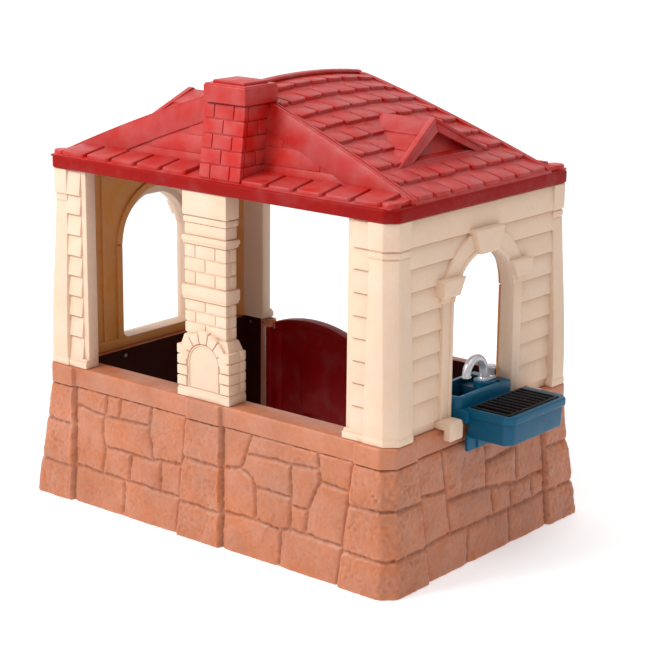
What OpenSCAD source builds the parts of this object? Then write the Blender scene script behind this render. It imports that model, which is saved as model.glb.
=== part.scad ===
// Children's play house: sloping stone-look base, cream upper end walls with arched
// windows, a fireplace column, a shingled gable roof with chimney, a half door on
// pins, and a sink and grill unit hung over one end wall.
// Millimetres. +X is the grill end, +Y is the door side, z = 0 is the floor.

/* [Base] */
// Length of the base at the floor
base_len = 1300; // [1260:10:1340]
// Width of the base at the floor
base_wid = 890; // [870:10:910]
// Height of the leaning stone faces
stone_h = 323; // [310:1:330]
// Height of the plain band on top of the stones
band_h = 53.5; // [50:0.5:56]
// How far the end faces lean in over the stones
lean_x = 36; // [30:1:40]
// How far the long faces lean in over the stones
lean_y = 35; // [30:1:40]
// Corner chamfer of the base
base_corner = 36; // [30:1:40]
// Thickness of the base walls at the band, on the front and the ends
base_wall = 90; // [84:1:94]
// Thickness of the door side wall at the band
back_wall = 50; // [48:1:56]
// Distance from the middle to the joints between panels and ends
seam_x = 500; // [495:1:505]

/* [Upper walls] */
// Height of the upper walls above the base
upper_h = 552.5; // [545:0.5:560]
// Distance from the middle to the outer face of an end wall
upper_x = 592; // [588:1:594]
// Distance from the middle to the outer face of a return
upper_y = 386; // [384:1:388]
// Thickness of an end wall
end_wall = 48; // [46:1:50]
// Thickness of a return
return_wall = 41; // [39:1:43]
// Distance from the middle to the free edge of a return
return_x = 455; // [450:1:460]
// Height of the plinth around the foot of the upper walls
plinth_h = 25; // [20:1:30]
// Height of the square heads of the corner posts
post_head = 68; // [60:1:76]

/* [Windows] */
// Sideways place of both windows
window_y = -8; // [-12:1:0]
// Half the width of a window between its jambs
window_half = 134; // [130:1:136]
// Radius of the window arch
arch_r = 132; // [124:1:133]
// Height of the arch centre above the floor
arch_z = 678; // [670:1:684]
// Height of the sill of the plain window above the base
sill_h = 28; // [24:1:32]
// How far the window's surround stands out from the wall
trim_out = 9; // [6:1:12]
// How far the keystone and the two springing blocks stand out
block_out = 28; // [22:1:32]

/* [Roof] */
// Distance from the middle to the fascia on the ends
fascia_x = 599; // [598:0.5:601]
// Distance from the middle to the fascia on the long sides
fascia_y = 394; // [393:0.5:396]
// Height of the fascia band
fascia_h = 34; // [32:1:36]
// Height of the ridge above the floor
ridge_z = 1196; // [1186:1:1200]
// Fall of the slope per millimetre at the ridge
slope_fall = 0.31; // [0.3:0.01:0.33]
// Extra fall that grows with the square of the distance, per metre
slope_curve = 0.105; // [0.09:0.005:0.12]
// Thickness of the roof skin
roof_skin = 10; // [8:1:12]
// Half the width of a dormer
dormer_half = 195; // [185:1:200]
// Distance from the middle to the face of a dormer
dormer_x = 465; // [455:1:470]
// Height of a dormer apex above the floor
dormer_z = 1118; // [1110:1:1122]

/* [Chimney] */
// Sideways place of the chimney
chimney_x = 36; // [20:1:40]
// Half the width of the chimney shaft
chimney_half = 70; // [66:1:74]
// Height of the chimney cap above the floor
cap_z = 1206; // [1204:1:1210]

/* [Fireplace] */
// Sideways place of the fireplace column
fire_x = -14; // [-20:1:0]
// Half the width of the hearth
hearth_half = 92.5; // [90:0.5:95]
// Half the width of the column above the hearth
stack_half = 73; // [71:0.5:75]

/* [Door] */
// Left edge of the door opening
door_left = -475; // [-478:1:-472]
// Right edge of the door opening
door_right = -99; // [-102:1:-96]
// Thickness of the door
door_thick = 35; // [33:1:36]
// Radius of the arched top edge of the door
door_arch_r = 417; // [400:1:440]
// Height of the top of the door above the floor
door_top = 393; // [388:1:396]
// Radius of the hinge pins
pin_r = 5; // [4.5:0.5:5.5]
// Radial running clearance of pins in their holes
run_gap = 0.06; // [0.02:0.01:0.09]

/* [Sink and grill] */
// Sideways middle of the grill box
grill_y = 28; // [20:1:32]
// Half the length of the grill box round its grate
grill_half = 127; // [124:1:128]
// How far the grill box runs on past its grate on the door side
grill_tail = 18; // [12:1:20]
// Distance from the middle of the house to the outer edge of the lip
grill_x = 758; // [750:1:762]
// Height of the top of the lip above the floor
lip_z = 415; // [412:1:418]
// Height of the sink rim above the floor
sink_z = 440; // [437:1:443]
// Place of the faucet spout along the end wall
spout_y = 72; // [70:1:74]
// Radius of the arch of the spout
spout_r = 39; // [36:1:40]
// Radius of the spout tube
tube_r = 12; // [10:1:13]

/* [Hidden] */
$fn = 48;

stone = [0.79, 0.53, 0.39];
cream = [0.90, 0.83, 0.72];
red = [0.62, 0.17, 0.15];
door_red = [0.50, 0.02, 0.03];
teal = [0.03, 0.42, 0.51];
steel = [0.75, 0.75, 0.77];

far = 2000;              // longer than the house, for cutting blocks
fit = 0.5;               // gap round tongues and tenons
base_x = base_len / 2;
base_y = base_wid / 2;
band_x = base_x - lean_x;
band_y = base_y - lean_y;
rim_z = stone_h + band_h;
inner_x = band_x - base_wall + 6;
inner_front = -(band_y - base_wall - 2);
inner_back = band_y - back_wall;
wall_top = rim_z + upper_h;
fascia_top = wall_top + fascia_h;
gable_foot = 305;        // half the depth of the gabled roof at the eaves
gable_front = 262;       // depth of the ridge on the chimney side
gable_back = 222;        // depth of the ridge on the door side
eave_x = fascia_x - 5;
hinge_x = door_left + 23;
hinge_y = inner_back + 6 + door_thick / 2;
door_mid = -289;
sill_top = 22;           // top of the step across the doorway
door_foot = 34;
knuckle_top = 345;       // top of the round edge that turns on the pins
lug_z = 349;
lug_top = 372;
// The grill sticks out past the base, so the house is moved back to centre the whole
overhang_shift = (grill_x - base_x) / 2;

module house() {
    translate([-overhang_shift, 0, 0]) children();
}

// A box given by its lowest and highest corners
module box(lo, hi) {
    translate(lo) cube(hi - lo);
}

// A rectangle about the middle with its corners cut off
module chamfered(hx, hy, cut) {
    polygon([[hx - cut, -hy], [hx, -hy + cut], [hx, hy - cut], [hx - cut, hy],
        [-hx + cut, hy], [-hx, hy - cut], [-hx, -hy + cut], [-hx + cut, -hy]]);
}

// An outline in X and Z pushed along Y from y0 to y1
module along_y(y0, y1) {
    translate([0, y1, 0]) rotate([90, 0, 0]) linear_extrude(height = y1 - y0) children();
}

// An outline in Y and Z pushed along X from x0 to x1
module along_x(x0, x1) {
    translate([x0, 0, 0]) rotate([90, 0, 90]) linear_extrude(height = x1 - x0) children();
}

// A pan-head screw: its head stands on the origin's plane and its shank points down
module screw(shank_r, length, head_r, head_h) {
    translate([0, 0, -length]) cylinder(r = shank_r, h = length);
    cylinder(r = head_r, h = head_h);
}

// ---- stone base ----

module base_block() {
    linear_extrude(height = stone_h, scale = [band_x / base_x, band_y / base_y], slices = 1)
        chamfered(base_x, base_y, base_corner);
    translate([0, 0, stone_h]) linear_extrude(height = band_h)
        chamfered(band_x, band_y, base_corner * band_x / base_x);
}

module base_ring() {
    difference() {
        base_block();
        box([-inner_x, inner_front, -1], [inner_x, inner_back, rim_z + 1]);
    }
}

// Laps of the front and door side panels that reach into the ends
module panel_laps(grow) {
    for (side = [-1, 1])
        translate([side * (seam_x + 10), -333, 155])
            cube([64 + grow, 18 + grow, 250 + grow], center = true);
    translate([seam_x + 10, inner_back + 24, 155])
        cube([64 + grow, 18 + grow, 250 + grow], center = true);
    translate([door_left - 12, inner_back + 24, 14])
        cube([50 + grow, 18 + grow, 14 + grow], center = true);
}

// Tenons of an upper end that drop into the band; side is -1 or 1
module tenons(side, grow) {
    for (y = [-170, 170])
        translate([side * 560, y, rim_z - 20])
            cube([24 + grow, 60 + grow, 40 + grow], center = true);
    for (y = [-377, 377])
        translate([side * 525, y, rim_z - 20])
            cube([50 + grow, 18 + grow, 40 + grow], center = true);
}

module lower_left_end() house() color(stone) {
    difference() {
        base_ring();
        box([-seam_x, -far, -1], [far, 0, far]);
        box([door_left, -1, -1], [far, far, far]);
        panel_laps(fit);
        tenons(-1, fit);
    }
}

module lower_right_end() house() color(stone) {
    difference() {
        base_ring();
        box([-far, -far, -1], [seam_x, far, far]);
        panel_laps(fit);
        tenons(1, fit);
    }
}

module lower_front_panel() house() color(stone) {
    intersection() {
        base_ring();
        box([-seam_x, -far, 0], [seam_x, 0, far]);
    }
    intersection() {
        panel_laps(0);
        box([-far, -far, 0], [far, 0, far]);
    }
}

module lower_back_panel() house() color(stone) {
    intersection() {
        base_ring();
        union() {
            box([door_right, 0, 0], [seam_x, far, far]);
            box([door_left, 0, 0], [door_right, far, sill_top]);
        }
    }
    intersection() {
        panel_laps(0);
        box([-far, 0, 0], [far, far, far]);
    }
}

// ---- cream upper walls ----

// Corner posts that flare out towards their feet, under square heads
module corner_posts() {
    intersection() {
        union() {
            hull() {
                translate([0, 0, rim_z]) linear_extrude(height = 1)
                    chamfered(band_x - 1, upper_y + 13, 31);
                translate([0, 0, wall_top - post_head]) linear_extrude(height = 1)
                    chamfered(upper_x + 3, upper_y + 3, 30);
            }
            translate([0, 0, wall_top - post_head]) linear_extrude(height = post_head)
                chamfered(upper_x + 6, upper_y + 6, 30);
        }
        for (x = [-1, 1], y = [-1, 1])
            translate([x * 630, y * 407, rim_z + upper_h / 2])
                cube([200, 200, upper_h], center = true);
    }
}

// Plinth round the feet of the corner posts and along the returns
module plinth() {
    intersection() {
        translate([0, 0, rim_z]) linear_extrude(height = plinth_h)
            chamfered(band_x, upper_y + 14, 31);
        for (y = [-1, 1])
            translate([0, y * 407, rim_z]) cube([far, 200, 200], center = true);
    }
}

module upper_ring() {
    difference() {
        union() {
            translate([0, 0, rim_z]) linear_extrude(height = upper_h)
                chamfered(upper_x, upper_y, 30);
            plinth();
            corner_posts();
        }
        box([-upper_x + end_wall, -upper_y + return_wall, 0],
            [upper_x - end_wall, upper_y - return_wall, far]);
        box([-return_x, -far, 0], [return_x, far, far]);
    }
}

// The hole of an arched window from its sill upwards
module window_hole(sill) {
    translate([0, window_y, 0]) {
        box([-far, -window_half, sill], [far, window_half, arch_z + 5]);
        translate([-far, 0, arch_z]) rotate([0, 90, 0]) cylinder(r = arch_r, h = 2 * far);
    }
}

// The raised surround of a window: strips, arch, two springing blocks and a keystone
module window_surround(side, sill) {
    foot = side > 0 ? upper_x - 1 : -upper_x - trim_out;
    block = side > 0 ? upper_x - 1 : -upper_x - block_out;
    translate([0, window_y, 0]) {
        for (y = [-window_half - 41, window_half])
            box([foot, y, sill], [foot + trim_out + 1, y + 41, arch_z + 40]);
        intersection() {
            translate([foot, 0, arch_z]) rotate([0, 90, 0])
                cylinder(r = arch_r + 54, h = trim_out + 1);
            box([-far, -far, arch_z], [far, far, far]);
        }
        for (y = [-197, 102])
            box([block, y, arch_z + 39], [block + block_out + 1, y + 95, arch_z + 84]);
        along_x(block, block + block_out + 1)
            polygon([[-42, arch_z + 126], [42, arch_z + 126], [64, arch_z + 190], [-64, arch_z + 190]]);
    }
}

module upper_left_end() house() color(cream) {
    difference() {
        union() {
            intersection() {
                upper_ring();
                box([-far, -far, 0], [0, far, far]);
            }
            window_surround(-1, rim_z + plinth_h - 1);
        }
        window_hole(rim_z + sill_h);
    }
    tenons(-1, 0);
}

// Feet of the grill end window that hook down over the band beside the sink
module sill_foot(y0, y1) {
    box([upper_x - 10, y0, rim_z], [band_x + 26, y1, rim_z + 24]);
    difference() {
        box([band_x - 1, y0, rim_z - 26], [band_x + 26, y1, rim_z + 24]);
        base_block();
    }
}

module upper_right_end() house() color(cream) {
    difference() {
        union() {
            intersection() {
                upper_ring();
                box([0, -far, 0], [far, far, far]);
            }
            window_surround(1, rim_z + plinth_h - 1);
        }
        window_hole(rim_z - 1);
    }
    sill_foot(-192, -136);
    sill_foot(178, 226);
    tenons(1, 0);
}

module fireplace_column() house() color(cream) translate([fire_x, 0, 0]) {
    box([-hearth_half, -396, rim_z], [hearth_half, -327, rim_z + 133]);
    hull() {
        box([-hearth_half, -396, rim_z + 132], [hearth_half, -327, rim_z + 133]);
        box([-stack_half, -384, rim_z + 168], [stack_half, -340, rim_z + 169]);
    }
    box([-stack_half, -384, rim_z + 168], [stack_half, -340, wall_top]);
    for (band = [[rim_z + 265, 38], [rim_z + 413, 22]])
        box([-stack_half - 6, -390, band[0]], [stack_half + 6, -334, band[0] + band[1]]);
    box([-stack_half - 4, -388, wall_top - 84], [stack_half + 4, -336, wall_top]);
}

// ---- roof ----

// Height of the roof surface at a distance from the ridge line
function roof_z(x) = ridge_z - slope_fall * abs(x) - slope_curve * x * x / 1000;

// Gable outline between two eaves, lowered by drop and resting on floor_z
module slope_outline(reach, drop, floor_z) {
    steps = 12;
    polygon(concat([[-reach, floor_z]],
        [for (i = [-steps : steps]) [reach * i / steps, roof_z(reach * i / steps) - drop]],
        [[reach, floor_z]]));
}

// The leaning gables as an outline in Y and Z, moved in by inset
module gable_outline(inset, floor_z) {
    lean_h = ridge_z - fascia_top;
    front_lean = (gable_foot - gable_front) / lean_h;
    back_lean = (gable_foot - gable_back) / lean_h;
    top_z = ridge_z + 20;
    foot = gable_foot - inset;
    polygon([[-foot, floor_z], [foot, floor_z], [foot, fascia_top],
        [foot - back_lean * (top_z - fascia_top), top_z],
        [-foot + front_lean * (top_z - fascia_top), top_z], [-foot, fascia_top]]);
}

module gable_body(reach, drop, inset, floor_z) {
    intersection() {
        along_y(-fascia_y, fascia_y) slope_outline(reach, drop, floor_z);
        along_x(-fascia_x, fascia_x) gable_outline(inset, floor_z);
    }
}

module dormer(side) {
    foot_z = roof_z(dormer_x) - 4;
    x0 = side > 0 ? 220 : -dormer_x;
    x1 = side > 0 ? dormer_x : -220;
    along_x(x0, x1)
        polygon([[-dormer_half, foot_z], [dormer_half, foot_z], [0, dormer_z]]);
}

module roof_outside() {
    translate([0, 0, wall_top]) linear_extrude(height = fascia_h)
        chamfered(fascia_x, fascia_y, 29);
    gable_body(eave_x, 0, 0, fascia_top - 1);
    // Low skirts between the fascia and the two gables
    along_x(-eave_x + 8, eave_x - 8)
        polygon([[-fascia_y + 5, fascia_top - 1], [-fascia_y + 5, fascia_top + 5],
            [-gable_foot + 2, fascia_top + 20], [gable_foot - 2, fascia_top + 20],
            [fascia_y - 5, fascia_top + 5], [fascia_y - 5, fascia_top - 1]]);
    // Cap along the ridge
    intersection() {
        along_y(-gable_front, gable_back + 2)
            polygon([[-34, ridge_z - 16], [34, ridge_z - 16], [30, ridge_z - 2],
                [0, ridge_z + 8], [-30, ridge_z - 2]]);
        along_x(-40, 40) gable_outline(-6, wall_top);
    }
    dormer(-1);
    dormer(1);
}

module roof_shell() house() color(red) {
    difference() {
        roof_outside();
        gable_body(fascia_x - 70, roof_skin, 12, wall_top - 1);
        box([-upper_x + end_wall, -upper_y + return_wall, wall_top - 1],
            [upper_x - end_wall, upper_y - return_wall, fascia_top - 8]);
        for (x = [-1, 1], y = [-1, 1])
            translate([x * 566, y * 358, fascia_top - 2]) cylinder(r = 13, h = 40);
    }
}

module chimney() house() color(red) {
    difference() {
        union() {
            hull() {
                box([chimney_x - chimney_half, -385, fascia_top],
                    [chimney_x + chimney_half, -240, fascia_top + 1]);
                box([chimney_x - chimney_half + 2, -361, cap_z - 46],
                    [chimney_x + chimney_half - 2, -240, cap_z - 45]);
            }
            box([chimney_x - 64, -372, cap_z - 46], [chimney_x + 79, -245, cap_z]);
            box([chimney_x - 46, -356, cap_z], [chimney_x + 62, -262, cap_z + 11]);
        }
        roof_outside();
    }
}

// ---- sink and grill ----

// Plan of the grill box with its two outer corners cut off
module grill_plan(inner, outer, half, cut, tail) {
    end = grill_y + half + tail;
    polygon([[inner, grill_y - half], [outer - cut, grill_y - half],
        [outer, grill_y - half + cut], [outer, end - cut],
        [outer - cut, end], [inner, end]]);
}

module sink_grill_unit() house() color(teal) {
    wall_face = band_x + 4;
    deck_x = 552;
    difference() {
        union() {
            // Grill box and its lip
            translate([0, 0, 335]) linear_extrude(height = lip_z - 335)
                grill_plan(wall_face, grill_x - 7, grill_half - 6, 20, grill_tail);
            translate([0, 0, lip_z - 23]) linear_extrude(height = 23)
                grill_plan(wall_face, grill_x, grill_half, 22, grill_tail);
            // Plate against the wall, and the bridge over its top to the sink
            box([wall_face, grill_y - grill_half, 300], [wall_face + 10, grill_y + grill_half, 340]);
            box([540, -108, rim_z], [wall_face + 10, 126, lip_z - 6]);
            // Sink
            translate([0, 0, rim_z]) linear_extrude(height = sink_z - rim_z)
                polygon([[484, -92], [500, -108], [588, -108], [604, -92], [604, 126], [484, 126]]);
        }
        // Well that holds the grate
        translate([0, 0, lip_z - 15]) linear_extrude(height = 30)
            grill_plan(wall_face + 4, grill_x - 14, grill_half - 12, 2, 0);
        // Basin, left standing round the faucet deck
        difference() {
            box([498, -94, rim_z + 10], [590, 96, far]);
            translate([deck_x, spout_y + 8, 0]) cylinder(r = 30, h = far);
        }
        // Bearings of the spout and the handle
        translate([deck_x, spout_y, sink_z - 16]) cylinder(r = 6 + run_gap, h = far);
        translate([deck_x, spout_y + 33, sink_z - 16]) cylinder(r = 4 + run_gap, h = far);
    }
}

module grill_grate() house() color([0.06, 0.06, 0.07]) {
    ribs = 9;
    x0 = band_x + 9;
    x1 = grill_x - 16;
    y0 = grill_y - grill_half + 14;
    y1 = grill_y + grill_half - 14;
    pitch = (y1 - y0 - 12) / (ribs + 1);
    difference() {
        box([x0, y0, lip_z - 15], [x1, y1, lip_z + 3]);
        box([x0 + 8, y0 + 8, lip_z - 10], [x1 - 8, y1 - 8, far]);
    }
    for (i = [1 : ribs])
        box([x0 + 7, y0 + 2 + pitch * i, lip_z - 11], [x1 - 7, y0 + 10 + pitch * i, lip_z + 5]);
}

module faucet_base() house() color(steel) translate([552, 0, sink_z]) {
    difference() {
        union() {
            for (y = [spout_y, spout_y + 33])
                translate([0, y, 0]) cylinder(r = 15, h = 3);
            box([-15, spout_y, 0], [15, spout_y + 33, 3]);
        }
        translate([0, spout_y, -1]) cylinder(r = 6 + run_gap, h = 5);
        translate([0, spout_y + 33, -1]) cylinder(r = 4 + run_gap, h = 5);
    }
}

module faucet_spout() house() color(steel) translate([552, spout_y, sink_z]) {
    rise = 27;
    translate([0, 0, -14]) cylinder(r = 6, h = 18);
    translate([0, 0, 3.3]) cylinder(r = tube_r, h = rise - 3.3);
    translate([0, -spout_r, rise]) rotate([90, 0, 90])
        rotate_extrude(angle = 180) translate([spout_r, 0]) circle(r = tube_r);
    translate([0, -2 * spout_r, rise - 5]) cylinder(r = tube_r, h = 5);
}

module faucet_handle() house() color(steel) translate([552, spout_y + 33, sink_z]) {
    translate([0, 0, -14]) cylinder(r = 4, h = 18);
    translate([0, 0, 3.3]) cylinder(r = 11, h = 24);
    translate([0, 0, 22]) cylinder(r = 13, h = 14);
}

// ---- half door ----

module half_door() house() color(door_red) {
    difference() {
        union() {
            intersection() {
                box([hinge_x, hinge_y - door_thick / 2, door_foot],
                    [door_right - 6, hinge_y + door_thick / 2, door_top]);
                translate([door_mid, far / 2, door_top - door_arch_r]) rotate([90, 0, 0])
                    cylinder(r = door_arch_r, h = far, $fn = 128);
            }
            translate([hinge_x, hinge_y, door_foot]) cylinder(r = door_thick / 2, h = knuckle_top - door_foot);
        }
        // Step under the upper bracket
        box([hinge_x - 20, 0, knuckle_top], [hinge_x + 26, far, far]);
        // Round-topped notch at the foot of the door
        translate([door_mid - 5, far / 2, 70]) rotate([90, 0, 0]) cylinder(r = 22, h = far);
        box([door_mid - 27, 0, 0], [door_mid + 17, far, 70]);
        // Bearings for the two pins
        translate([hinge_x, hinge_y, knuckle_top - 40]) cylinder(r = pin_r + run_gap, h = far);
        translate([hinge_x, hinge_y, 0]) cylinder(r = pin_r + run_gap, h = door_foot + 40);
    }
}

// A flat lug with a round nose about the hinge line, on a plate fixed to the door post
module hinge_lug(z0, z1, plate_top) {
    difference() {
        union() {
            box([door_left, hinge_y - 15, z0], [hinge_x, hinge_y + 15, z1]);
            translate([hinge_x, hinge_y, z0]) cylinder(r = 15, h = z1 - z0);
            box([door_left, hinge_y - 23.5, z0], [door_left + 4, hinge_y + 24, plate_top]);
        }
        translate([hinge_x, hinge_y, z0 - 20]) cylinder(r = pin_r, h = z1 - z0 + 40);
    }
}

module upper_hinge_bracket() house() color(stone) {
    hinge_lug(lug_z, lug_top, lug_top);
}

module lower_hinge_bracket() house() color(stone) {
    hinge_lug(sill_top, door_foot - 2, sill_top + 26);
}

module upper_hinge_pin() house() color(steel) {
    pin_foot = knuckle_top - 37;
    translate([hinge_x, hinge_y, pin_foot]) cylinder(r = pin_r, h = lug_top - pin_foot);
    translate([hinge_x, hinge_y, lug_top]) cylinder(r = 9, h = 3);
}

module lower_hinge_pin() house() color(steel) {
    translate([hinge_x, hinge_y, sill_top]) cylinder(r = pin_r, h = 46);
}

// ---- fasteners ----

module lower_wall_screws() house() color(steel) {
    for (side = [-1, 1], z = [80, 250])
        translate([side * (seam_x + 18), inner_front, z]) rotate([-90, 0, 0]) screw(2.5, 24, 6, 3);
    for (z = [80, 250])
        translate([seam_x + 18, inner_back, z]) rotate([90, 0, 0]) screw(2.5, 28, 6, 3);
    translate([door_left - 24, inner_back, 14]) rotate([90, 0, 0]) screw(2.5, 28, 6, 3);
}

module upper_wall_screws() house() color(steel) {
    for (side = [-1, 1]) {
        for (y = [-170, 170])
            translate([side * inner_x, y, rim_z - 20]) rotate([0, -side * 90, 0]) screw(2.5, 36, 6, 3);
        translate([side * 515, inner_front, rim_z - 20]) rotate([-90, 0, 0]) screw(2.5, 60, 6, 3);
        translate([side * 515, inner_back, rim_z - 20]) rotate([90, 0, 0]) screw(2.5, 22, 6, 3);
    }
}

module roof_screws() house() color(steel) {
    for (x = [-1, 1], y = [-1, 1])
        translate([x * 566, y * 358, fascia_top - 2]) screw(3, 66, 9, 4);
}

module fireplace_screws() house() color(steel) {
    for (side = [-1, 1])
        translate([fire_x + side * 45, -327, rim_z + 12]) rotate([-60, 0, 0]) screw(2.5, 44, 5, 2.5);
}

module sink_screws() house() color(steel) {
    for (y = [-72, 12])
        translate([566, y, rim_z + 10]) screw(2.5, 30, 6, 3);
}

module chimney_screws() house() color(steel) {
    for (side = [-1, 1])
        translate([chimney_x + side * 40, -279, 1040]) rotate([-90, 0, 0]) screw(2.5, 44, 6, 3);
}

module hinge_bracket_screws() house() color(steel) {
    for (z = [lug_z + 11, sill_top + 17], y = [-19.5, 19.5])
        translate([door_left + 4, hinge_y + y, z]) rotate([0, 90, 0]) screw(2, 24, 3.5, 1.5);
}

lower_left_end();
lower_right_end();
lower_front_panel();
lower_back_panel();
upper_left_end();
upper_right_end();
fireplace_column();
roof_shell();
chimney();
sink_grill_unit();
grill_grate();
faucet_base();
faucet_spout();
faucet_handle();
half_door();
upper_hinge_bracket();
lower_hinge_bracket();
upper_hinge_pin();
lower_hinge_pin();
lower_wall_screws();
upper_wall_screws();
roof_screws();
fireplace_screws();
sink_screws();
chimney_screws();
hinge_bracket_screws();
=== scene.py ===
"""Looks of a children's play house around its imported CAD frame.

House coordinates have their zero in the middle of the base; every mesh is moved by
MID_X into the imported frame. Metres. +X is the grill end, +Y is the door side.
"""
import itertools
import math

import bmesh
import bpy
import numpy as np
from mathutils import Matrix, Vector


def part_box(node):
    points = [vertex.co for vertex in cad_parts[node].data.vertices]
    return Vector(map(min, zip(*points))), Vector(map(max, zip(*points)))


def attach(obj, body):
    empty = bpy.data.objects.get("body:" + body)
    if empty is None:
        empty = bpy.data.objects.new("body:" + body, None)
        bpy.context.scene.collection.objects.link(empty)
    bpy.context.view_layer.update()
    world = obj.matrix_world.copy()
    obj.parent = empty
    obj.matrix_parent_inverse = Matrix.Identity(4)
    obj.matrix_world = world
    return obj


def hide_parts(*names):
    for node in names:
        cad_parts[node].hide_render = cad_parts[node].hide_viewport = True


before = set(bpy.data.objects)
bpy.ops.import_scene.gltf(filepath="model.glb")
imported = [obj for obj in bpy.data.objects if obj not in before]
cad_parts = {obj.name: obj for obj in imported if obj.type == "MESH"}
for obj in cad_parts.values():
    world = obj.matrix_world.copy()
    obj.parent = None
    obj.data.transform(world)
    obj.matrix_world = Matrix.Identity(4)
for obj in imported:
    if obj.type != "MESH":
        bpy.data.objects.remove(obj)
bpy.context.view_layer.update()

MID_X = sum(corner.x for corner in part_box("lower_front_panel")) / 2

# Base
STONE_TOP = 0.323
RIM = 0.3765
FLOOR_HALF = (0.650, 0.445)
BAND_HALF = (0.614, 0.410)
FLOOR_CUT = (0.036, 0.036)
BAND_CUT = (0.034, 0.0332)
SEAM = 0.5
DOOR_LEFT = -0.475
DOOR_RIGHT = -0.099
ROOM_X = 0.530
ROOM_FRONT = -0.318
ROOM_BACK = 0.360
GRID = 0.0031
BAY_DEPTH = 0.0085
JOINT_DEPTH = 0.0062

# Upper walls and roof
WALL_TOP = 0.929
FASCIA_TOP = 0.963
WINDOW_Y = -0.008
SPRING_Z = 0.678
RIDGE = 1.196
PITCH = 0.31
BULGE = 0.105
RIDGE_ROUND = 0.026
UNDER_SHINGLES = 0.0062
SCREW_WELLS = ((-0.566, 0.566), (-0.358, 0.358))
EAVE = 0.594
GABLE_FOOT = 0.305
FIRE_X = -0.014
CHIMNEY_X = 0.036

# Joints between stones, in centimetres, as (distance along the face, height)
LEFT_BAY = [
    [(-49, 27), (-38, 26)], [(-37.5, 33), (-37.5, 26)], [(-37.5, 26), (-21, 26.6)],
    [(-32, 33), (-32.3, 26)], [(-20, 33), (-21, 25), (-18.4, 18.4)], [(-18.4, 18), (-7, 18.6)],
    [(-38, 26), (-38.5, 21), (-37, 17.5), (-37, 10)], [(-37, 17.5), (-18.4, 17.6)],
    [(-27, 17.4), (-27, 10)], [(-15.3, 18), (-15.3, 10)], [(-49, 10.4), (-36, 10), (-7, 9.9)],
    [(-28.8, 10), (-28.5, 1)],
]
RIGHT_BAY = [
    [(16, 33), (13, 22.4), (6, 21.4)], [(15.6, 26.6), (38.4, 27.6)], [(38, 33), (39.2, 24.8)],
    [(39.2, 24.8), (49, 24.3)], [(13, 22.3), (17, 20.8), (18.3, 18.7)], [(18.3, 18.7), (29.7, 18.6)],
    [(29.6, 27.2), (30.2, 20), (30.8, 10)], [(30.6, 16.5), (35.8, 16.7), (39.2, 24.6)],
    [(35.8, 16.8), (35.8, 10.5)], [(18.2, 18.6), (18.7, 10)],
    [(7, 9.8), (18.4, 10.2), (26.5, 9.5), (31, 10.5), (49, 9.9)], [(27.8, 9.4), (28, 1)],
]
END_BAY = [
    [(-17.3, 33), (-15.8, 10)], [(-28, 22.6), (-17, 21.4)], [(-27, 9.4), (-15.8, 10)],
    [(0, 33), (1.5, 25), (0.5, 18)], [(-15.8, 18.3), (1.3, 17.5), (12, 15.6), (28, 15.2)],
    [(1.4, 24.4), (15.2, 24.9)], [(15.4, 33), (14.9, 15.6)], [(3.2, 17), (3.6, 9.6)],
    [(11.6, 15.6), (11.8, 9.2)], [(21.2, 15.3), (21.7, 9.4)], [(-15.8, 9.6), (10, 9), (28, 9.2)],
    [(-8.2, 9.2), (-9.6, 1)], [(10.3, 9), (10, 1)],
]


# ---- mesh helpers ----

# Solids that meet shrink by different hair's breadths, so no two of their faces share a plane
SHRINKS = itertools.cycle([0.0, 0.00024, 0.00012, 0.00036, 0.00006, 0.00030, 0.00018])


def add_solid(bm, loops, edge=0.002, segments=2):
    """A closed solid through loops of points, with its sharp edges rounded, added to bm"""
    part = bmesh.new()
    rings = [[part.verts.new(point) for point in loop] for loop in loops]
    for low, high in zip(rings, rings[1:]):
        for i in range(len(low)):
            j = (i + 1) % len(low)
            part.faces.new((low[i], low[j], high[j], high[i]))
    part.faces.new(rings[0][::-1])
    part.faces.new(rings[-1])
    bmesh.ops.recalc_face_normals(part, faces=part.faces)
    if edge > 0:
        sharp = [e for e in part.edges if e.calc_face_angle(0) > 0.5]
        bmesh.ops.bevel(part, geom=sharp, offset=edge, segments=segments, affect="EDGES", profile=0.5,
                        clamp_overlap=True)
    part.normal_update()
    shrink = next(SHRINKS)
    for vert in part.verts:
        vert.co -= vert.normal * shrink
    merge(bm, part)


def merge(bm, part):
    """Moves everything in part into bm"""
    mesh = bpy.data.meshes.new("part")
    part.to_mesh(mesh)
    part.free()
    bm.from_mesh(mesh)
    bpy.data.meshes.remove(mesh)


def prism_x(bm, outline, x0, x1, edge=0.002, segments=2):
    """An outline in Y and Z pushed along X"""
    add_solid(bm, [[(x, y, z) for y, z in outline] for x in (x0, x1)], edge, segments)


def prism_y(bm, outline, y0, y1, edge=0.002, segments=2):
    """An outline in X and Z pushed along Y"""
    add_solid(bm, [[(x, y, z) for x, z in outline] for y in (y0, y1)], edge, segments)


def prism_z(bm, outline, z0, z1, edge=0.002, segments=2):
    """An outline in X and Y pushed along Z"""
    add_solid(bm, [[(x, y, z) for x, y in outline] for z in (z0, z1)], edge, segments)


def block(bm, low, high, edge=0.002, segments=2):
    """A box with rounded edges between two corners"""
    (x0, y0, z0), (x1, y1, z1) = low, high
    prism_z(bm, [(x0, y0), (x1, y0), (x1, y1), (x0, y1)], z0, z1, edge, segments)


def chamfered(hx, hy, cut):
    """A rectangle about the middle with its corners cut off"""
    return [(hx - cut, -hy), (hx, -hy + cut), (hx, hy - cut), (hx - cut, hy),
            (-hx + cut, hy), (-hx, hy - cut), (-hx, -hy + cut), (-hx + cut, -hy)]


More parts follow.
